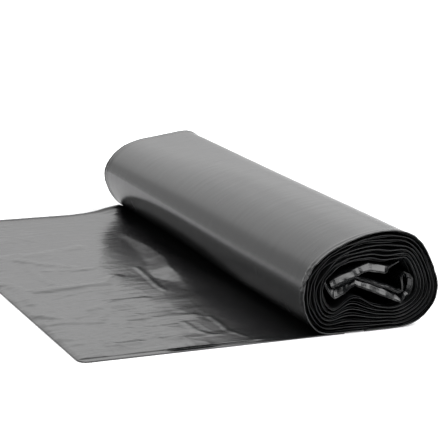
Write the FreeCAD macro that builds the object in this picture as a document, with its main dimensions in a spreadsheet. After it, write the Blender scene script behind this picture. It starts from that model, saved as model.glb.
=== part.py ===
"""A coreless roll of bin bags, lying on its side with the start of the web unrolled on the floor.

The bags are one continuous web, folded to the roll's length and wound on itself, so the roll, the
crushed folds in its middle and the unrolled start are one solid. Millimetres, +Z up. Y runs along
the roll, the unrolled start points to -X, and the origin is the middle of the footprint on the floor.
"""
import FreeCAD, Part
import math
import os

import Sketcher

App = FreeCAD
Vector = App.Vector

# Driving sizes, in millimetres: alias, value, what it is
SIZES = [
    ("web_width", 457.0, "width of the folded web, which is the roll's length"),
    ("roll_width", 129.0, "width of the squashed roll"),
    ("roll_height", 86.0, "height of the squashed roll"),
    ("film_stack", 1.7, "thickness of one turn's stack of film"),
    ("turn_gap", 1.2, "air between two turns"),
    ("turns", 7.0, "number of turns that show at the end"),
    ("tail_reach", 199.0, "how far the unrolled start reaches past the roll's side"),
    ("tail_corner", 5.0, "corner radius of the unrolled start"),
    ("crease_rise", 1.6, "height of the creases on the unrolled start"),
]

# The roll's outline seen from its near end, as spline poles that run anticlockwise from the floor.
# Each is a share of the half width and of the half height, from the roll's middle.
OUTLINE = [
    (-0.43, -1.00),
    (-0.09, -1.00),
    (0.27, -1.00),
    (0.62, -1.00),
    (0.91, -0.72),
    (1.06, -0.28),
    (0.90, 0.31),
    (0.68, 0.86),
    (0.34, 1.05),
    (-0.09, 1.02),
    (-0.55, 0.82),
    (-0.91, 0.49),
    (-1.08, -0.11),
    (-0.94, -0.72),
    (-0.74, -1.00),
]
FLOOR_POLES = 4  # the first poles, which lie flat on the floor

# The same poles on the innermost turn, where the roll is crushed: one dent from below, one from above
CRUSHED = [
    (-0.43, -0.20),
    (-0.09, -0.72),
    (0.27, -1.00),
    (0.60, -1.00),
    (0.88, -0.72),
    (1.00, -0.28),
    (0.86, 0.36),
    (0.66, 0.96),
    (0.34, 0.56),
    (-0.09, 0.90),
    (-0.55, 0.82),
    (-0.91, 0.49),
    (-1.08, -0.11),
    (-0.94, -0.72),
    (-0.74, -1.00),
]
CRUSH_GROWTH = 1.6  # the dents grow towards the middle with this power

# The web's inner end, folded to and fro in the cavity, as shares of the cavity's half sizes
CORE_FOLDS = [
    (-0.95, -0.60),
    (-0.44, -0.10),
    (-0.06, -0.28),
    (0.70, -0.72),
    (0.90, -0.36),
    (0.88, 0.14),
    (0.72, 0.34),
    (0.70, -0.30),
    (0.24, -0.14),
    (-0.34, 0.20),
    (-0.80, 0.02),
    (-0.88, 0.16),
    (-0.68, 0.42),
    (-0.12, 0.58),
    (0.30, 0.42),
    (0.58, 0.66),
]

# Creases on the unrolled start: middle across the web and slant as shares of the web's width,
# width in millimetres and height as a share of crease_rise
CREASES = [
    (-0.39, 0.02, 16.0, 0.7),
    (-0.28, -0.02, 22.0, 1.0),
    (-0.13, 0.05, 20.0, 0.6),
    (0.02, -0.04, 26.0, 0.9),
    (0.17, 0.06, 24.0, 0.7),
    (0.34, -0.03, 30.0, 0.5),
]
CREASE_FADE = 30.0  # the creases fade out over this length at the roll and at the web's end
RELIEF_STEP = 9.0  # spacing of the points that the creased face passes through
SPLINE_DEGREE = 3
ARCS_PER_SPAN = 2  # arcs that follow each span of the smooth curve
TOUCHING = 1e-5  # two points this close are one


def make_sheet(doc):
    """The spreadsheet that holds the driving sizes."""
    sheet = doc.addObject("Spreadsheet::Sheet", "Sizes")
    for row, (alias, value, meaning) in enumerate(SIZES, start=1):
        sheet.set(f"A{row}", meaning)
        sheet.set(f"B{row}", str(value))
        sheet.setAlias(f"B{row}", alias)
    doc.recompute()
    return sheet


def origin_plane(body, role):
    return next(plane for plane in body.Origin.OriginFeatures if plane.Role == role)


def add_sketch(body, name, role):
    """A sketch on one of its own body's origin planes."""
    sketch = body.newObject("Sketcher::SketchObject", name)
    sketch.AttachmentSupport = (origin_plane(body, role), [""])
    sketch.MapMode = "FlatFace"
    return sketch


def add_pad(body, sketch, name, length, symmetric):
    """A pad whose length is bound to a cell, or to a sum of cells."""
    pad = body.newObject("PartDesign::Pad", name)
    pad.Profile = sketch
    pad.setExpression("Length", length)
    if symmetric:
        pad.SideType = "Symmetric"
    return pad


def roll_middle(sheet):
    """The middle of the roll's section: across the floor and above it."""
    return Vector(sheet.tail_reach / 2, 0, sheet.roll_height / 2)


def wound_poles(sheet):
    """Spline poles of the web's middle line, from the floor to the innermost turn."""
    middle = roll_middle(sheet)
    half = sheet.film_stack / 2
    pitch = sheet.film_stack + sheet.turn_gap
    count = len(OUTLINE)
    last = count * round(sheet.turns) - SPLINE_DEGREE
    poles = [Vector(tail_root(sheet), half, 0)]
    for i in range(last + 1):
        wound = max(0, i - FLOOR_POLES + 1) / count
        crush = (wound * count / last) ** CRUSH_GROWTH
        plain, crushed = OUTLINE[i % count], CRUSHED[i % count]
        across = plain[0] + crush * (crushed[0] - plain[0])
        up = plain[1] + crush * (crushed[1] - plain[1])
        x = middle.x + across * (sheet.roll_width / 2 - pitch * wound - half)
        z = middle.z + up * (sheet.roll_height / 2 - pitch * wound - half)
        poles.append(Vector(x, z, 0))
    return poles


def left_side(poles, distance):
    """The poles moved square to their run, to the left by a distance."""
    runs = [after - before for before, after in zip(poles[:1] + poles, poles[1:] + poles[-1:])]
    return [pole + Vector(-run.y, run.x, 0) * (distance / run.Length) for pole, run in zip(poles, runs)]


def tail_root(sheet):
    """Where the web leaves the roll's flat underside."""
    return roll_middle(sheet).x + OUTLINE[-1][0] * sheet.roll_width / 2


def smooth_run(poles):
    """Arcs and lines along the smooth curve that starts on the first pole and ends on the last."""
    curve = Part.BSplineCurve()
    spans = len(poles) - SPLINE_DEGREE
    ends = [SPLINE_DEGREE + 1]
    curve.buildFromPolesMultsKnots(
        poles, ends + [1] * (spans - 1) + ends, list(range(spans + 1)), False, SPLINE_DEGREE
    )
    steps = ARCS_PER_SPAN * spans
    ahead = [curve.value(k / ARCS_PER_SPAN) for k in range(steps + 1)]
    between = [curve.value((k + 0.5) / ARCS_PER_SPAN) for k in range(steps)]
    run = []
    for start, middle, end in zip(ahead, between, ahead[1:]):
        flat = abs((middle - start).cross(end - start).z) < TOUCHING
        run.append(Part.LineSegment(start, end) if flat else Part.Arc(start, middle, end))
    return run


def core_points(sheet):
    """The turning points of the web's inner end, in the crushed middle."""
    middle = roll_middle(sheet)
    wall = (sheet.film_stack + sheet.turn_gap) * round(sheet.turns) + sheet.film_stack
    half_width = sheet.roll_width / 2 - wall
    half_height = sheet.roll_height / 2 - wall
    return [
        Vector(middle.x + across * half_width, middle.z + up * half_height, 0)
        for across, up in CORE_FOLDS
    ]


def right_side(points, half):
    """The right side of a folded strip, without its ends: an arc outside each fold, a corner inside it."""
    side = []
    for before, fold, after in zip(points, points[1:], points[2:]):
        arriving = (fold - before).normalize()
        leaving = (after - fold).normalize()
        first = Vector(arriving.y, -arriving.x, 0) * half
        second = Vector(leaving.y, -leaving.x, 0) * half
        middle = (first + second).normalize()
        if arriving.cross(leaving).z > 0:
            side.append(Part.Arc(fold + first, fold + middle * half, fold + second))
        else:
            side.append(fold + middle * (half * half / middle.dot(first)))
    return side


def closed_outline(stations):
    """Joins curves and single points into one closed outline, with straight lines between them."""
    outline = []
    here = stations[-1].EndPoint
    for station in stations:
        curved = not isinstance(station, Vector)
        start = station.StartPoint if curved else station
        if not start.isEqual(here, TOUCHING):
            outline.append(Part.LineSegment(here, start))
        if curved:
            outline.append(station)
        here = station.EndPoint if curved else station
    return outline


def make_winding(doc, sheet):
    """The wound turns and the folds inside them: one long thin outline, padded to the web's width."""
    body = doc.addObject("PartDesign::Body", "Winding")
    sketch = add_sketch(body, "WebOutline", "XZ_Plane")
    half = sheet.film_stack / 2
    folds = core_points(sheet)
    turns = wound_poles(sheet)
    turns.append((turns[-1] + folds[0]) / 2)
    strip = turns[-1:] + folds
    run = (folds[-1] - folds[-2]).normalize()
    right = Vector(run.y, -run.x, 0) * half
    tip = Part.Arc(folds[-1] + right, folds[-1] + run * half, folds[-1] - right)
    stations = smooth_run(left_side(turns, -half)) + right_side(strip, half) + [tip]
    stations += right_side(strip[::-1], half) + smooth_run(left_side(turns, half)[::-1])
    sketch.addGeometry(closed_outline(stations), False)
    add_pad(body, sketch, "WebTurns", "Sizes.web_width", True)
    return body


def make_tail_blank(doc, sheet):
    """The unrolled start of the web as a plain plate with two rounded corners."""
    body = doc.addObject("PartDesign::Body", "TailBlank")
    sketch = add_sketch(body, "TailOutline", "XY_Plane")
    right = tail_root(sheet)
    left = roll_middle(sheet).x - sheet.roll_width / 2 - sheet.tail_reach
    half = sheet.web_width / 2
    corners = [Vector(left, -half), Vector(right, -half), Vector(right, half), Vector(left, half)]
    sketch.addGeometry([Part.LineSegment(a, b) for a, b in zip(corners, corners[1:] + corners[:1])])
    for side in range(4):
        sketch.addConstraint(Sketcher.Constraint("Coincident", side, 2, (side + 1) % 4, 1))
    for side, kind in enumerate(("Horizontal", "Vertical", "Horizontal", "Vertical")):
        sketch.addConstraint(Sketcher.Constraint(kind, side))
    sketch.addConstraint(Sketcher.Constraint("DistanceX", 0, 1, 0, 2, right - left))
    sketch.setExpression(
        f"Constraints[{sketch.ConstraintCount - 1}]",
        f"Sizes.tail_reach + Sizes.roll_width / 2 * {1 + OUTLINE[-1][0]}",
    )
    sketch.addConstraint(Sketcher.Constraint("DistanceY", 1, 1, 1, 2, 2 * half))
    sketch.setExpression(f"Constraints[{sketch.ConstraintCount - 1}]", "Sizes.web_width")
    sketch.addConstraint(Sketcher.Constraint("DistanceX", -1, 1, 1, 1, right))
    sketch.setExpression(
        f"Constraints[{sketch.ConstraintCount - 1}]",
        f"Sizes.tail_reach / 2 + Sizes.roll_width / 2 * {OUTLINE[-1][0]}",
    )
    sketch.addConstraint(Sketcher.Constraint("DistanceY", 1, 1, -1, 1, half))
    sketch.setExpression(f"Constraints[{sketch.ConstraintCount - 1}]", "Sizes.web_width / 2")
    pad = add_pad(body, sketch, "TailPlate", "Sizes.film_stack + 2 * Sizes.crease_rise", False)
    doc.recompute()
    upright = [
        f"Edge{n}"
        for n, edge in enumerate(pad.Shape.Edges, start=1)
        if abs(edge.tangentAt(edge.FirstParameter).z) > 0.99 and edge.BoundBox.XMax < left + sheet.tail_corner
    ]
    fillet = body.newObject("PartDesign::Fillet", "TailCorners")
    fillet.Base = (pad, upright)
    fillet.setExpression("Radius", "Sizes.tail_corner")
    return body


def crease_height(sheet, reach, across):
    """Height of the creases at a point: reach runs from the web's end to the roll, across over its width."""
    length = sheet.tail_reach + sheet.roll_width / 2 * (1 + OUTLINE[-1][0])
    fade = min(1.0, max(0.0, min(reach, length - reach) / CREASE_FADE))
    height = 0.0
    for middle, slant, width, share in CREASES:
        ridge = (middle + slant * reach / length) * sheet.web_width
        height += share * math.exp(-(((across - ridge) / width) ** 2))
    return sheet.crease_rise * height * fade * fade * (3 - 2 * fade)


def make_tail_relief(doc, sheet):
    """A block whose top face has the creases; what it shares with the blank is the unrolled start."""
    right = tail_root(sheet)
    left = roll_middle(sheet).x - sheet.roll_width / 2 - sheet.tail_reach
    half = sheet.web_width / 2
    columns = max(4, round((right - left) / RELIEF_STEP))
    rows = max(4, round(sheet.web_width / RELIEF_STEP))
    grid = []
    for i in range(columns + 1):
        x = left + (right - left) * i / columns
        line = []
        for j in range(rows + 1):
            y = -half + sheet.web_width * j / rows
            line.append(Vector(x, y, sheet.film_stack + crease_height(sheet, x - left, y)))
        grid.append(line)
    top = Part.BSplineSurface()
    top.interpolate(grid)
    relief = doc.addObject("Part::Feature", "TailRelief")
    relief.Shape = top.toShape().extrude(Vector(0, 0, -2 * sheet.film_stack))
    return relief


def check(doc):
    """Stops the build if an object has failed, which a recompute doesn't say."""
    for item in doc.Objects:
        if "Invalid" in item.State or "Error" in item.State:
            raise RuntimeError(f"{item.Label} failed: {item.State}")


def write(node):
    """Writes a sub-part to the file that its label names."""
    if node.Shape.isNull() or not node.Shape.isValid():
        raise RuntimeError(f"{node.Label} has no valid shape")
    os.makedirs("parts", exist_ok=True)
    node.Shape.exportStep(os.path.join("parts", node.Label + ".step"))
    box = node.Shape.optimalBoundingBox(False)
    print(node.Label, len(node.Shape.Solids), "solid", round(node.Shape.Volume), "mm3", box)


def main():
    doc = App.newDocument("BinBagRoll")
    sheet = make_sheet(doc)
    winding = make_winding(doc, sheet)
    blank = make_tail_blank(doc, sheet)
    relief = make_tail_relief(doc, sheet)
    tail = doc.addObject("Part::Common", "Tail")
    tail.Base = blank
    tail.Tool = relief
    roll = doc.addObject("Part::MultiFuse", "BagRoll")
    roll.Label = "bag_roll"
    roll.Shapes = [winding, tail]
    roll.Refine = True
    roll.Placement = App.Placement()
    doc.recompute()
    check(doc)
    write(roll)


main()
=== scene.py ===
"""A coreless roll of black bin bags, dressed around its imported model.

Metres in the row's frame: +Z is up, and +Y runs along the roll, away from its near end.
"""
import math

import bmesh
import bpy
from mathutils import Matrix, Vector, noise


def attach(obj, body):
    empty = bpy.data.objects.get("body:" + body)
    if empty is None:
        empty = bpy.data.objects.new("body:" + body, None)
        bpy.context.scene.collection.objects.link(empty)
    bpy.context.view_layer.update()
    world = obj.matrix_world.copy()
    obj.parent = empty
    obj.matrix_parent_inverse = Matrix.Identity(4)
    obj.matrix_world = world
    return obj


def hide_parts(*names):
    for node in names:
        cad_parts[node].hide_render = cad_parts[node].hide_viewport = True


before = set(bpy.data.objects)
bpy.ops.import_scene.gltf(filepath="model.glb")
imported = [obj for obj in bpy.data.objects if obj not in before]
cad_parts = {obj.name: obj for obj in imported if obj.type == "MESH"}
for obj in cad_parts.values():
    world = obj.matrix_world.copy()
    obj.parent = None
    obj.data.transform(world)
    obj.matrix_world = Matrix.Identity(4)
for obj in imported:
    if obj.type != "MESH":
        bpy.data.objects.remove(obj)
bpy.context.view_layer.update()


# THE WOUND TURNS
# The roll is one long web of bags, wound on itself with no core and squashed. The web is a flat tube
# of thin black polyethylene, so each turn ends in a smooth fold at both ends of the roll.
MM = 0.001
WEB_HALF = 228.5
MIDDLE_X = 99.5
MIDDLE_Z = 43.0
HALF_WIDTH = 64.5
HALF_HEIGHT = 43.0
PLIES = 21
PLY_PITCH = 20.3 / PLIES
PLY_THICKNESS = 0.34
SKIN_INSET = 0.25
BUNCHING = 0.55  # the turns lie in bundles, and the gap between them swings by this share
BUNCH_TURNS = 3
CRUSH_GROWTH = 1.6
# One turn's spline poles as shares of the half width and the half height: outside, and in the middle
PLAIN = [
    (-0.43, -1.00), (-0.09, -1.00), (0.27, -1.00), (0.62, -1.00), (0.91, -0.72),
    (1.06, -0.28), (0.90, 0.31), (0.68, 0.86), (0.34, 1.05), (-0.09, 1.02),
    (-0.55, 0.82), (-0.91, 0.49), (-1.08, -0.11), (-0.94, -0.72), (-0.74, -1.00),
]
CRUSHED = [
    (-0.43, -0.20), (-0.09, -0.72), (0.27, -1.00), (0.60, -1.00), (0.88, -0.72),
    (1.00, -0.28), (0.86, 0.36), (0.66, 0.96), (0.34, 0.56), (-0.09, 0.90),
    (-0.55, 0.82), (-0.91, 0.49), (-1.08, -0.11), (-0.94, -0.72), (-0.74, -1.00),
]
TURN_POLES = len(PLAIN)
FLOOR_POLES = 3
SEAM_POLE = 1.5  # the turns are counted from here, under the roll


def clamped(value):
    """The value, kept between 0 and 1."""
    return min(1.0, max(0.0, value))


def eased(share):
    """A share from 0 to 1 with a soft start and a soft end."""
    return share * share * (3 - 2 * share)


def bell(offset, width):
    """A soft bump, 1 high where the offset is 0."""
    return math.exp(-((offset / width) ** 2))


def waver(x, y, z):
    """Smooth noise from about -1 to 1, the same in every run."""
    return noise.noise(Vector((x, y, z)))


def turn_pole(i):
    """A spline pole of the wound web, counted from where it leaves the floor."""
    wound = max(0.0, (i - FLOOR_POLES) / TURN_POLES)
    crush = min(1.0, max(0.0, i) / (TURN_POLES * PLIES)) ** CRUSH_GROWTH
    phase = 2 * math.pi * (wound - 0.5) / BUNCH_TURNS
    bunch = BUNCHING * BUNCH_TURNS / (2 * math.pi) * math.sin(phase)
    inset = PLY_PITCH * (wound - bunch) + SKIN_INSET
    plain, crushed = PLAIN[i % TURN_POLES], CRUSHED[i % TURN_POLES]
    across = plain[0] + crush * (crushed[0] - plain[0])
    up = plain[1] + crush * (crushed[1] - plain[1])
    return MIDDLE_X + across * (HALF_WIDTH - inset), MIDDLE_Z + up * (HALF_HEIGHT - inset)


def turn_point(t):
    """Place, outward direction and length per pole of the wound web at spline place t."""
    first = math.floor(t)
    u = t - first
    weights = (
        (1 - u) ** 3 / 6,
        (3 * u**3 - 6 * u**2 + 4) / 6,
        (-3 * u**3 + 3 * u**2 + 3 * u + 1) / 6,
        u**3 / 6,
    )
    slopes = (
        -((1 - u) ** 2) / 2,
        (3 * u**2 - 4 * u) / 2,
        (-3 * u**2 + 2 * u + 1) / 2,
        u**2 / 2,
    )
    poles = [turn_pole(first + n) for n in range(4)]
    x = sum(w * p[0] for w, p in zip(weights, poles))
    z = sum(w * p[1] for w, p in zip(weights, poles))
    dx = sum(w * p[0] for w, p in zip(slopes, poles))
    dz = sum(w * p[1] for w, p in zip(slopes, poles))
    length = math.hypot(dx, dz)
    return x, z, dz / length, -dx / length, length


def turn_run(start, end, step_at):
    """Columns along the wound web: length so far, spline place, x, z and outward direction."""
    columns = []
    run = 0.0
    t = start
    while t < end:
        x, z, nx, nz, speed = turn_point(t)
        columns.append((run, t, x, z, nx, nz))
        step = step_at(t, speed)
        run += step * speed
        t += step
    return columns


LEAN_START = -120.0
LEAN_LENGTH = 250.0
LEAN_UNDER = 11.5
TOP_DROP = 5.0
SHOULDER_RISE = 2.4


def settle(x, y, z):
    """A point moved as the far end is squashed: a flatter top, and a lower left that leans under."""
    share = eased(clamped(y / WEB_HALF))
    leaning = eased(clamped((y - LEAN_START) / LEAN_LENGTH))
    across = (x - MIDDLE_X) / HALF_WIDTH
    up = (z - MIDDLE_Z) / HALF_HEIGHT
    under = clamped(-across / 0.85) * max(0.0, (0.07 - up) / 1.07) ** 1.2
    drop = TOP_DROP * bell(across + 0.05, 0.5) - SHOULDER_RISE * bell(across - 0.65, 0.35)
    drop = max(0.0, up) * drop
    return x + leaning * LEAN_UNDER * under, y, z - share * drop


FOLD_ANGLES = (0.9, 0.0, -0.9)


def flat_tube_rows(outer_ys, inner_ys, thickness):
    """Rows around a flattened tube of film: out along its outer face, and back along its inner one.

    A row is its y and its share of the half thickness.
    """
    half = thickness / 2
    rows = [(y, 1.0) for y in outer_ys]
    rows += [(WEB_HALF - half + half * math.cos(a), math.sin(a)) for a in FOLD_ANGLES]
    rows += [(y, -1.0) for y in reversed(inner_ys)]
    rows += [(-WEB_HALF + half - half * math.cos(a), -math.sin(a)) for a in FOLD_ANGLES]
    return rows


def film_grid(name, columns, rows, place):
    """A flattened tube, laid out by place(), welded along its last row and closed at its ends."""
    mesh = bpy.data.meshes.new(name)
    bm = bmesh.new()
    bmesh.ops.create_grid(bm, x_segments=len(columns) - 1, y_segments=len(rows), size=0.5)
    uv = bm.loops.layers.uv.new("film")
    cells = {}
    for v in bm.verts:
        i = round((v.co.x + 0.5) * (len(columns) - 1))
        j = round((v.co.y + 0.5) * len(rows))
        cells[v] = (i, j % len(rows))
    for face in bm.faces:
        for loop in face.loops:
            i, j = cells[loop.vert]
            loop[uv].uv = (columns[i][0] * MM, rows[j][0] * MM)
    for v, (i, j) in cells.items():
        v.co = Vector(place(columns[i], rows[j])) * MM
    bmesh.ops.remove_doubles(bm, verts=bm.verts, dist=1e-7)
    open_edges = [edge for edge in bm.edges if edge.is_boundary]
    ends = bmesh.ops.holes_fill(bm, edges=open_edges, sides=0)
    bmesh.ops.triangulate(bm, faces=ends["faces"])
    bmesh.ops.recalc_face_normals(bm, faces=bm.faces)
    for face in bm.faces:
        face.smooth = True
    bm.to_mesh(mesh)
    bm.free()
    piece = bpy.data.objects.new(name, mesh)
    bpy.context.scene.collection.objects.link(piece)
    return piece


RECESSES = (0.0, 1.2, 6.5)
TURN_FLARE = 14


def recess(t):
    """How far a ply's folded edge lies back from the roll's end: every third ply stands out."""
    turn = (t - SEAM_POLE) / TURN_POLES
    k = math.floor(turn)
    blend = clamped((turn - k - 0.9) / 0.1)
    here, after = RECESSES[k % 3], RECESSES[(k + 1) % 3]
    return here + blend * (after - here)


def turn_place(column, row):
    """A point of the inner turns, whose folded edges puff, wander and lie back unevenly."""
    _, t, x, z, nx, nz = column
    y, side = row
    near = max(0.0, 1 - (WEB_HALF - abs(y)) / TURN_FLARE)
    end = 1 if y > 0 else -1
    ripple = waver(x * 0.11, z * 0.11, t * 0.35 + 40 * end)
    sway = waver(x * 0.03, z * 0.03, t * 0.2 + 90 * end)
    set_back = recess(t)
    turn = math.floor((t - SEAM_POLE) / TURN_POLES)
    strand = waver(x * 0.05, z * 0.05, 9.0 * turn + 40 * end)
    puff = 1 + near * near * ((0.8 + strand) if set_back < 1 else 0.0)
    wander = near * near * (0.45 * ripple + 0.5 * sway + 0.9 * strand)
    across = side * puff * PLY_THICKNESS / 2 + wander
    back = near * (1.3 + 1.2 * sway + 0.8 * ripple + set_back + 2.2 * strand)
    return settle(x + across * nx, y - end * back, z + across * nz)


turn_columns = turn_run(
    TURN_POLES, TURN_POLES * PLIES - FLOOR_POLES, lambda t, speed: 0.14 if speed > 8 else 0.2
)
turn_ys = [-228, -226, -223, -218, -210, -195, -150, -75]
turn_ys = turn_ys + [0] + [-y for y in reversed(turn_ys)]
turn_rows = flat_tube_rows(turn_ys, turn_ys, PLY_THICKNESS)
wound_turns = film_grid("wound_turns", turn_columns, turn_rows, turn_place)


def add_node(tree, kind, values=None):
    """A node of one kind in a tree, with values set on its inputs."""
    node = tree.nodes.new(kind)
    for name, value in (values or {}).items():
        node.inputs[name].default_value = value
    return node


FILM_COLOUR = (0.006, 0.0065, 0.007, 1)
FILM_IOR = 1.56
WRINKLE_SCALE = (22, 190, 1)
WRINKLE_SLANT = 0.12
GRAIN_SCALE = 900
GRAIN_HEIGHT = 0.00002


def film_material(name, wrinkle, roughness, ior=FILM_IOR):
    """Black polyethylene film: wrinkles along the web in its bump, and a slightly uneven gloss."""
    material = bpy.data.materials.new(name)
    material.use_nodes = True
    tree = material.node_tree
    tree.nodes.clear()
    link = tree.links.new
    output = add_node(tree, "ShaderNodeOutputMaterial")
    shader = add_node(tree, "ShaderNodeBsdfPrincipled", {"Base Color": FILM_COLOUR, "IOR": ior})
    link(shader.outputs[0], output.inputs[0])
    film_uv = add_node(tree, "ShaderNodeUVMap")
    film_uv.uv_map = "film"
    stretch = {"Scale": WRINKLE_SCALE, "Rotation": (0, 0, WRINKLE_SLANT)}
    along = add_node(tree, "ShaderNodeMapping", stretch)
    link(film_uv.outputs[0], along.inputs[0])
    streak_look = {"Scale": 1.0, "Detail": 4, "Roughness": 0.55}
    streaks = add_node(tree, "ShaderNodeTexNoise", streak_look)
    link(along.outputs[0], streaks.inputs["Vector"])
    grain = add_node(tree, "ShaderNodeTexNoise", {"Scale": GRAIN_SCALE, "Detail": 2})
    link(film_uv.outputs[0], grain.inputs["Vector"])
    coarse = add_node(tree, "ShaderNodeBump", {"Strength": 1.0, "Distance": wrinkle})
    link(streaks.outputs[0], coarse.inputs["Height"])
    small = add_node(tree, "ShaderNodeBump", {"Strength": 1.0, "Distance": GRAIN_HEIGHT})
    link(grain.outputs[0], small.inputs["Height"])
    link(coarse.outputs[0], small.inputs["Normal"])
    link(small.outputs[0], shader.inputs["Normal"])
    uneven = {"To Min": roughness - 0.05, "To Max": roughness + 0.07}
    gloss = add_node(tree, "ShaderNodeMapRange", uneven)
    link(streaks.outputs[0], gloss.inputs["Value"])
    link(gloss.outputs[0], shader.inputs["Roughness"])
    return material


# the inner turns take the same black film with a lower IOR, so that their folded edges reflect less
# and look darker: painted shade on the edges of the turns
turn_film = film_material("turn_film", 0.0004, 0.46, ior=1.42)
wound_turns.data.materials.append(turn_film)
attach(wound_turns, "root")
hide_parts("bag_roll")


# THE OUTER TURN
# The web's first turn comes off the floor on the right, goes over the top and tucks in under the left
# flank. It is the skin that shows from outside, stretched over the turns below it.
FILM_THICKNESS = 0.5
RIM_FLARE = 9
RIM_INSETS = [0.3, 1.0, 1.9, 2.8, 3.8, 4.8, 5.8, 6.8, 7.8, 8.8, 9.9, 11.2, 12.6]
CRINKLED_POLE = 10.8  # the rim is crinkled around this place, on the roll's left
CRINKLE_HEIGHT = 3.3


def outer_place(column, row):
    """A point of the skin, whose rim has a hem, a ridge behind it and some crinkles."""
    run, t, x, z, nx, nz = column
    y, side = row
    hem = WEB_HALF - abs(y)
    near = max(0.0, 1 - hem / RIM_FLARE)
    end = 1 if y > 0 else -1
    raised = clamped((z - 1.0) / 8)
    band = waver(run * 0.045, y * 0.005, 3.1)
    streak = waver(run * 0.03 + y * 0.02, y * 0.13, 7.7)
    ripple = waver(run * 0.16, 5.0 * end, 1.3)
    crinkle = bell(t - CRINKLED_POLE, 0.6) * waver(run * 0.35, y * 0.5, 4.4)
    if end > 0:
        crinkle, ripple = 0.15 * crinkle, 0.4 * ripple
    uneven = 0.8 + 0.8 * waver(run * 0.035, 21.0 * end, 6.6)
    rim = near * near * 0.5 * ripple
    rim += min(1.0, 1.6 * near) * CRINKLE_HEIGHT * max(crinkle, -0.1)
    rim += uneven * (0.55 * bell(hem, 2.0) + 0.32 * bell(hem - 6.0, 1.5))
    across = side * FILM_THICKNESS / 2 * (1 + near * near)
    across += raised * (0.25 + 0.35 * band + 0.035 * streak + rim)
    frayed = 0.3 + 0.5 * waver(run * 0.02, 11.0 * end, 0.0) + 0.8 * crinkle
    back = raised * near * near * frayed
    return settle(x + across * nx, y - end * back, max(z + across * nz, 0.02))


outer_columns = turn_run(
    0.0, TURN_POLES + 0.01, lambda t, speed: 0.035 if abs(t - CRINKLED_POLE) < 1 else 0.08
)
outer_ys = [y - WEB_HALF for y in RIM_INSETS]
outer_ys += [-214.2 + 1.904 * k for k in range(226)]
outer_ys += [WEB_HALF - y for y in reversed(RIM_INSETS)]
outer_rows = flat_tube_rows(outer_ys, turn_ys, FILM_THICKNESS)
outer_turn = film_grid("outer_turn", outer_columns, outer_rows, outer_place)
outer_film = film_material("outer_film", 0.00015, 0.24)
outer_turn.data.materials.append(outer_film)
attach(outer_turn, "root")
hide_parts("bag_roll")


# THE CRUSHED CORE
# The web's inner end lies folded to and fro in the squashed middle. The film is stiff and creased
# there, so it stands in flat facets, and at both ends of the roll its folded edges lean over.
CORE_SHIFT = 41.7
CORE_PLY = 0.55
CRUMPLED_LEFT = 47
CORE_FACET = 3.2
# The strip's folds: x and z of the leaning edge at the roll's end, x and z inside, depth of the lean
CORE_PATH = [
    (11.5, 47.0, 12.0, 47.5, 4.0), (15.5, 38.5, 17.5, 42.0, 4.0), (21.5, 32.5, 23.0, 38.0, 4.0),
    (30.0, 35.5, 31.0, 41.0, 4.0), (36.0, 39.5, 37.0, 44.0, 4.0), (41.0, 42.0, 42.0, 45.5, 3.0),
    (49.0, 38.6, 50.5, 43.0, 3.0), (55.0, 36.4, 56.5, 40.6, 3.0), (65.0, 32.0, 66.5, 36.2, 3.0),
    (80.0, 25.6, 81.4, 29.4, 3.0), (87.0, 22.8, 88.0, 25.4, 3.0), (92.0, 27.0, 91.5, 29.5, 2.5),
    (95.5, 28.5, 93.5, 31.0, 2.5), (98.0, 36.0, 95.0, 37.5, 2.5), (97.5, 42.0, 94.5, 43.0, 2.5),
    (94.0, 46.5, 92.5, 45.5, 2.5), (89.0, 49.0, 89.5, 47.5, 2.5), (86.5, 45.0, 88.0, 45.0, 2.5),
    (88.0, 38.0, 89.5, 39.0, 2.5), (88.5, 32.5, 89.0, 34.5, 2.5), (85.0, 31.0, 85.0, 33.0, 2.5),
    (75.0, 35.5, 75.5, 37.0, 2.0), (68.0, 37.5, 68.5, 39.0, 2.0), (60.0, 41.0, 60.5, 42.5, 2.0),
    (50.0, 45.0, 50.5, 46.3, 2.0), (41.5, 48.3, 42.0, 49.0, 2.0), (31.0, 43.8, 31.5, 44.6, 2.0),
    (22.0, 40.6, 22.5, 41.5, 2.0), (18.5, 42.0, 18.5, 45.4, 3.0), (23.0, 43.4, 22.6, 48.2, 4.0),
    (30.5, 45.9, 30.0, 50.9, 4.0), (40.0, 49.4, 39.4, 54.2, 4.0), (48.0, 52.6, 47.2, 57.2, 4.0),
    (53.5, 53.4, 55.0, 59.4, 4.0), (69.0, 50.6, 71.5, 55.4, 4.0), (73.5, 53.8, 75.5, 55.2, 2.0),
    (84.0, 58.6, 84.5, 58.2, 2.0),
]


def core_columns(offset, seed):
    """The folded path with points between its folds, and the outward direction at each."""
    fine = []
    for n, (here, after) in enumerate(zip(CORE_PATH, CORE_PATH[1:])):
        length = math.hypot(after[0] - here[0], after[1] - here[1])
        pieces = max(2, round(length / CORE_FACET))
        for k in range(pieces):
            share = k / pieces
            point = [a + share * (b - a) for a, b in zip(here, after)]
            loose = 0.0 if k == 0 else 0.35 if here[0] < CRUMPLED_LEFT else 0.1
            for m in range(4):
                point[m] += loose * waver(n * 3.7 + k * 1.3, m * 5.1, 2.0)
            fine.append(point)
    fine.append(list(CORE_PATH[-1]))
    columns = []
    run = 0.0
    for n, point in enumerate(fine):
        before, after = fine[max(0, n - 1)], fine[min(len(fine) - 1, n + 1)]
        dx, dz = after[0] - before[0], after[1] - before[1]
        length = max(0.5, math.hypot(dx, dz))
        columns.append((run, point, dz / length, -dx / length, offset, seed))
        run += math.hypot(after[0] - point[0], after[1] - point[1])
    return columns


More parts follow.
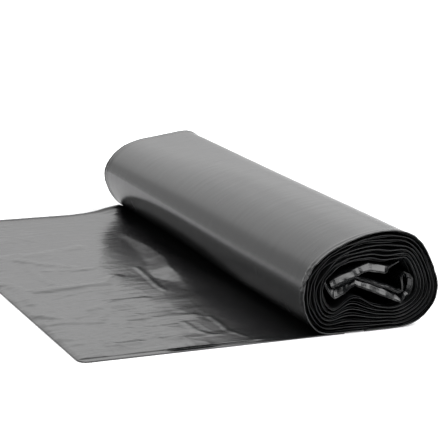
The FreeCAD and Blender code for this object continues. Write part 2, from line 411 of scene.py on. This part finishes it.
def core_place(column, row):
    """A point of the folded strip: its edge leans over and is ragged, and less so at the far end."""
    run, (edge_x, edge_z, deep_x, deep_z, depth), nx, nz, offset, seed = column
    y, side = row
    end = 1 if y > 0 else -1
    inside = WEB_HALF - abs(y)
    deep = min(1.0, max(0.0, inside - 0.6) / depth)
    if end > 0:
        edge_x, edge_z = deep_x + 0.6 * (deep_x - edge_x), deep_z - 0.7 * (deep_z - edge_z)
    x = edge_x + deep * (deep_x - edge_x)
    z = edge_z + deep * (deep_z - edge_z)
    fading = 1 - min(1.0, inside / 60)
    crumple = (1.1 if edge_x < CRUMPLED_LEFT else 0.3) * fading
    crumple = crumple * waver(run * 0.22, y * 0.2, 5.0 + end)
    across = offset + side * CORE_PLY / 2 + crumple
    ragged = 0.9 + 1.1 * waver(run * 0.09, end * 9.0, seed * 2.0) + 2.8 * max(0.0, 2.9 - depth)
    y = y - end * ragged * max(0.0, 1 - inside / 20)
    return settle(x + CORE_SHIFT + across * nx, y, z + across * nz)


core_film = film_material("core_film", 0.00025, 0.2)
core_ys = [-227.9, -226.9, -225.8, -224.6, -223.4, -221.5, -218, -211, -203, -185, -150, -100, -50]
core_ys = core_ys + [0] + [-y for y in reversed(core_ys)]
core_rows = flat_tube_rows(core_ys, core_ys, CORE_PLY)
for number, offset in ((1, -0.45), (2, 0.45)):
    core_run = core_columns(offset, 3.0 * number)
    crushed_core = film_grid(f"crushed_core_{number}", core_run, core_rows, core_place)
    for face in crushed_core.data.polygons:
        face.use_smooth = False
    crushed_core.data.materials.append(core_film)
    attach(crushed_core, "root")
    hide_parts("bag_roll")


# THE UNROLLED START
# The first bag lies unrolled on the floor to the left. Its two layers hold a little air, its long
# edges are puffed folds, and low creases run across and along the web from having been wound.
START_X = -164.0
START_CORNER = 8.0
START_THICKNESS = 1.8
FLOOR_GAP = 0.12
DRAWN_IN = 9.0  # the far edge is drawn in by this much, away from the roll
CREASE_GROWTH = 1.25
# Height, half width and line of each crease
START_CREASES = [
    (0.75, 12.0, [(-131, 79), (-117, 82), (-102, 80), (-86, 82), (-68, 89), (-44, 95)]),
    (0.6, 10.0, [(-117, 66), (-110, 57), (-101, 50), (-89, 40), (-77, 29)]),
    (0.5, 8.0, [(-114, 45), (-117, 5), (-112, -20)]),
    (0.5, 7.0, [(-106, 25), (-100, 22), (-80, 18), (-60, 18)]),
    (0.9, 11.0, [(-137, -35), (-112, -35), (-88, -34), (-64, -31), (-47, -13)]),
    (0.7, 10.0, [(-158, -7), (-150, -11), (-147, -22), (-147, -40), (-150, -73)]),
    (0.6, 8.0, [(-158, -105), (-140, -118)]),
    (0.5, 9.0, [(-106, -103), (-78, -86), (-49, -85)]),
    (0.7, 10.0, [(-158, -130), (-139, -130), (-111, -136)]),
    (0.3, 9.0, [(-89, -146), (-70, -147), (-43, -142), (-26, -144)]),
    (0.35, 8.0, [(-130, -195), (-115, -199), (-100, -197)]),
    (0.25, 5.0, [(-15, -150), (-15, -168), (-17, -192), (-10, -212)]),
    (0.2, 6.0, [(-44, -159), (-44, -182), (-36, -198)]),
    (0.3, 5.0, [(-16, 13), (-18, -16), (-22, -50), (-22, -66)]),
]
# Where the film dips and humps up before it goes in under the roll: y, then the dip's middle, width
# and depth, then where the hump starts, its crest and its height
START_HUMP = [
    (-228.5, 12, 52, 1.2, -14, 8, 0.0),
    (-120, 18, 50, 1.3, -14, 8, 0.0),
    (-72, 16, 44, 1.1, -14, 7, 0.0),
    (-52, -4, 26, 0.9, -16, 6, 0.7),
    (-8, -20, 18, 0.9, -14, 9, 3.6),
    (26, -14, 17, 0.9, -2, 18, 3.3),
    (76, 0, 17, 0.8, 6, 20, 2.6),
    (110, 6, 16, 0.6, 9, 18, 1.5),
    (150, 18, 15, 0.5, 4, 12, 0.5),
    (180, 20, 15, 0.5, 0, 12, 0.0),
    (228.5, 20, 15, 0.5, 0, 12, 0.0),
]
HUMP_END = 50


def hump_rise(x, y):
    """Height of the dip and the hump along the roll."""
    for (y0, *low), (y1, *high) in zip(START_HUMP, START_HUMP[1:]):
        if y <= y1:
            break
    share = (y - y0) / (y1 - y0)
    share = share * (0.5 + share * (1.5 - share))
    dip_x, width, dip, start, crest, height = (a + share * (b - a) for a, b in zip(low, high))
    rise = -dip * bell(x - dip_x, width)
    if start < x < crest:
        rise += height * ((x - start) / (crest - start)) ** 1.4
    elif crest <= x < HUMP_END:
        rise += height * (0.5 + 0.5 * math.cos(math.pi * (x - crest) / (HUMP_END - crest)))
    return rise


def crease_rise(x, y):
    """Height that the creases add: a soft fold over each line, fading out past its ends."""
    rise = 0.0
    for height, width, line in START_CREASES:
        best = 0.0
        for n, ((ax, ay), (bx, by)) in enumerate(zip(line, line[1:])):
            ux, uy = bx - ax, by - ay
            length = math.hypot(ux, uy)
            along = ((x - ax) * ux + (y - ay) * uy) / length
            off = abs((x - ax) * uy - (y - ay) * ux) / length
            if off >= width or along <= -width or along >= length + width:
                continue
            fade = 1.0
            if along < 0 and n == 0:
                fade = 1 + along / width
            elif along < 0:
                off = math.hypot(off, along)
            elif along > length and n == len(line) - 2:
                fade = 1 - (along - length) / width
            elif along > length:
                off = math.hypot(off, along - length)
            best = max(best, fade * max(0.0, 1 - off / width))
        rise += height * best * best * (3 - 2 * best)
    return rise


def long_wave(phase, x):
    """A wave with a long gentle rise and a shorter fall, its height differing from crest to crest."""
    k = math.floor(phase)
    share = phase - k
    height = 0.25 + 1.2 * abs(waver(k * 7.13, x * 0.014, 2.2))
    if share < 0.62:
        return height * (share / 0.62)
    return height * (0.5 + 0.5 * math.cos(math.pi * (share - 0.62) / 0.38))


def start_relief(x, y, edge):
    """Height of the upper layer: air, puffed long edges, waves, creases, fine folds and the hump."""
    bowl = 1 - math.exp(-edge / 5.0)
    puff = 1.5 * bell(edge - 2.4, 2.6)
    by_roll = clamped((x + 80) / 45)
    away = 1 - by_roll
    wave = waver(x * 0.012, y * 0.045, 0.3)
    cross = waver(x * 0.05, y * 0.015, 5.3)
    narrow = waver(x * 0.022 + 3.0, y * 0.1 - x * 0.012, 33.0)
    waves = 0.55 + (0.15 + 0.6 * away) * wave + (0.25 + 0.15 * away) * cross + 0.24 * away * narrow
    top = 1.0 + bowl * waves + puff
    ripple_zone = clamped((x + 95) / 30) * clamped((10 - y) / 60) * clamped((30 - x) / 30)
    wander = 18.0 * waver(x * 0.016, y * 0.012, 8.8)
    top += 0.34 * ripple_zone * long_wave((y + wander - 0.25 * x) / 36, x) * bowl
    top += CREASE_GROWTH * bowl * crease_rise(x, y)
    fine_line = 1 - 2.2 * abs(waver(x * 0.018 + y * 0.01, y * 0.075 - x * 0.02, 12.1))
    slant_line = 1 - 2.6 * abs(waver(x * 0.05 + y * 0.03, y * 0.03 - x * 0.02, 17.9))
    fine_folds = (0.22 - 0.1 * by_roll) * max(0.0, fine_line) ** 4
    fine_folds += (0.2 - 0.1 * by_roll) * max(0.0, slant_line) ** 5
    top += bowl * fine_folds
    near_patch = math.exp(-(((x + 3) / 16) ** 2) - ((y + 22) / 30) ** 2)
    top += 0.6 * near_patch * waver(x * 0.09, y * 0.05, 21.0)
    hump = hump_rise(x, max(-WEB_HALF, min(WEB_HALF, y)))
    return top + hump * (0.5 + 0.5 * (1 - math.exp(-edge / 14)))


def start_place(column, row):
    """A point of the unrolled start: relief on the upper layer, and a flat layer on the floor."""
    x = column[0]
    y, side = row
    edge = max(0.0, WEB_HALF - abs(y))
    end = x - START_X
    in_corner = max(0.0, START_CORNER - edge)
    corner = START_CORNER - math.sqrt(max(0.0, START_CORNER**2 - in_corner**2))
    x = x + corner * max(0.0, 1 - end / 20)
    if y > 0:
        drawn = max(0.0, 1 - max(0.0, (x + 10) / 45))
        y = y - DRAWN_IN * (y / WEB_HALF) ** 2 * min(1.0, drawn)
    if side < 0:
        return x, y, FLOOR_GAP
    top = start_relief(x, y, edge)
    # the far corner at the roll lifts off the floor
    lift = max(0.0, 1 - (WEB_HALF - y) / 30) * clamped((x - 6) / 44) if y > 0 else 0.0
    top = top * min(1.0, 0.35 + end / 6)
    if y < 0:
        # along the near edge the upper layer stands off its fold as a lip, most at two places
        gape = math.exp(-(((x + 66) / 20) ** 4)) + 0.62 * math.exp(-(((x + 28) / 30) ** 4))
        gape = min(1.0, gape)
        inside = clamped((edge - 6.2) / (1.8 - 1.1 * gape))
        lip = 1.9 * gape * max(0.0, 1 - edge / 48) ** 2
        top = 0.75 + inside * inside * (3 - 2 * inside) * (top + lip - 0.75)
        y = y - 2.4 * gape * inside * max(0.0, 1 - (edge - 6.2) / 9)
    # under the roll the film lies flat, and it reaches in further at the far corner
    corner_reach = 14 * clamped((y - 170) / 45)
    over = clamped((x - 38 - corner_reach) / 16)
    top = top + over * (0.9 - top)
    z = top * side if edge < 0.9 else top
    return x, y, max(FLOOR_GAP, z) + 5.5 * lift**1.5 * (1 - over)


start_columns = [(START_X + 1.6 * k,) for k in range(150)]
start_ys = [-227.6, -226.2, -224.8, -223.4, -222.3, -221.9, -221.5, -220.9, -220.2]
start_ys += [-219.0 + 1.6 * k for k in range(280)]
start_rows = flat_tube_rows(start_ys, turn_ys, START_THICKNESS)
unrolled_start = film_grid("unrolled_start", start_columns, start_rows, start_place)
start_film = film_material("start_film", 0.00025, 0.21)
unrolled_start.data.materials.append(start_film)
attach(unrolled_start, "root")
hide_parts("bag_roll")


# THE SET
# A white floor that also shines a little, so that it shows white, with a soft lamp above the near
# right, a larger one behind the roll, and a surround that is bright behind and dim in front.
FLOOR_DROP = 0.0002
floor_mesh = bpy.data.meshes.new("floor")
bm = bmesh.new()
bmesh.ops.create_grid(bm, x_segments=1, y_segments=1, size=6.0)
bmesh.ops.translate(bm, verts=bm.verts, vec=(0, 1.0, -FLOOR_DROP))
bm.to_mesh(floor_mesh)
bm.free()
floor = bpy.data.objects.new("floor", floor_mesh)
bpy.context.scene.collection.objects.link(floor)
floor_paint = bpy.data.materials.new("floor_paint")
floor_paint.use_nodes = True
tree = floor_paint.node_tree
tree.nodes.clear()
link = tree.links.new
output = add_node(tree, "ShaderNodeOutputMaterial")
matt = add_node(tree, "ShaderNodeBsdfDiffuse", {"Color": (0.86, 0.86, 0.87, 1)})
glow = add_node(tree, "ShaderNodeEmission", {"Color": (1, 1, 1, 1)})
from_middle = add_node(tree, "ShaderNodeTexCoord")
reach = add_node(tree, "ShaderNodeVectorMath")
reach.operation = "LENGTH"
link(from_middle.outputs["Object"], reach.inputs[0])
glow_range = {"From Min": 0.3, "From Max": 0.8, "To Min": 0.35, "To Max": 1.0}
away = add_node(tree, "ShaderNodeMapRange", glow_range)
link(reach.outputs["Value"], away.inputs["Value"])
link(away.outputs[0], glow.inputs["Strength"])
both = add_node(tree, "ShaderNodeAddShader")
link(matt.outputs[0], both.inputs[0])
link(glow.outputs[0], both.inputs[1])
seen = add_node(tree, "ShaderNodeLightPath")
either = add_node(tree, "ShaderNodeMath")
either.operation = "MAXIMUM"
link(seen.outputs["Is Camera Ray"], either.inputs[0])
link(seen.outputs["Is Glossy Ray"], either.inputs[1])
any_view = add_node(tree, "ShaderNodeMath")
any_view.operation = "MAXIMUM"
link(either.outputs[0], any_view.inputs[0])
link(seen.outputs["Is Transmission Ray"], any_view.inputs[1])
pick = add_node(tree, "ShaderNodeMixShader")
link(any_view.outputs[0], pick.inputs[0])
link(matt.outputs[0], pick.inputs[1])
link(both.outputs[0], pick.inputs[2])
link(pick.outputs[0], output.inputs[0])
floor_mesh.materials.append(floor_paint)

world = bpy.data.worlds.new("surround")
bpy.context.scene.world = world
world.use_nodes = True
tree = world.node_tree
tree.nodes.clear()
link = tree.links.new
output = add_node(tree, "ShaderNodeOutputWorld")
around = add_node(tree, "ShaderNodeTexCoord")
parts = add_node(tree, "ShaderNodeSeparateXYZ")
link(around.outputs["Generated"], parts.inputs[0])
world_range = {"From Min": -0.5, "From Max": 0.5, "To Min": 0.06, "To Max": 1.0}
behind = add_node(tree, "ShaderNodeMapRange", world_range)
behind.interpolation_type = "SMOOTHSTEP"
link(parts.outputs["Y"], behind.inputs["Value"])
surround = add_node(tree, "ShaderNodeBackground", {"Color": (1, 1, 1, 1)})
link(behind.outputs[0], surround.inputs["Strength"])
white = add_node(tree, "ShaderNodeBackground", {"Color": (1, 1, 1, 1)})
seen = add_node(tree, "ShaderNodeLightPath")
pick = add_node(tree, "ShaderNodeMixShader")
link(seen.outputs["Is Camera Ray"], pick.inputs[0])
link(surround.outputs[0], pick.inputs[1])
link(white.outputs[0], pick.inputs[2])
link(pick.outputs[0], output.inputs[0])


def add_softbox(name, width, height, energy, place, aim):
    """A rectangular lamp at a place, turned to the point that it aims at."""
    light = bpy.data.lights.new(name, "AREA")
    light.shape = "RECTANGLE"
    light.size = width
    light.size_y = height
    light.energy = energy
    lamp = bpy.data.objects.new(name, light)
    bpy.context.scene.collection.objects.link(lamp)
    lamp.location = place
    lamp.rotation_euler = (Vector(aim) - lamp.location).to_track_quat("-Z", "Y").to_euler()


add_softbox("softbox", 1.8, 1.4, 37, (1.0, -0.58, 1.05), (0.8, -0.42, 0.04))
add_softbox("back_softbox", 2.6, 1.9, 10.6, (0.3, 1.7, 1.45), (0.1, 0, 0.05))

# the camera that fits the photo's edges of the roll: its place, its angles and its focal length
CAMERA_PLACE = (-0.6084, -1.3954, 0.43245)
CAMERA_DEGREES = (25.707, 14.058, 2.241)
FOCAL_PIXELS = 1669.73
PHOTO_PIXELS = 440
camera_data = bpy.data.cameras.new("camera")
camera_data.sensor_width = 36
camera_data.lens = FOCAL_PIXELS / PHOTO_PIXELS * camera_data.sensor_width
camera = bpy.data.objects.new("camera", camera_data)
bpy.context.scene.collection.objects.link(camera)
turned, tipped, rolled = (math.radians(angle) for angle in CAMERA_DEGREES)
ahead = Vector((
    math.sin(turned) * math.cos(tipped),
    math.cos(turned) * math.cos(tipped),
    -math.sin(tipped),
))
level = Vector((math.cos(turned), -math.sin(turned), 0))
upward = level.cross(ahead)
right = math.cos(rolled) * level + math.sin(rolled) * upward
top = -math.sin(rolled) * level + math.cos(rolled) * upward
facing = Matrix((right, top, -ahead)).transposed().to_4x4()
camera.matrix_world = Matrix.Translation(CAMERA_PLACE) @ facing
bpy.context.scene.camera = camera
bpy.context.scene.view_settings.view_transform = "Standard"
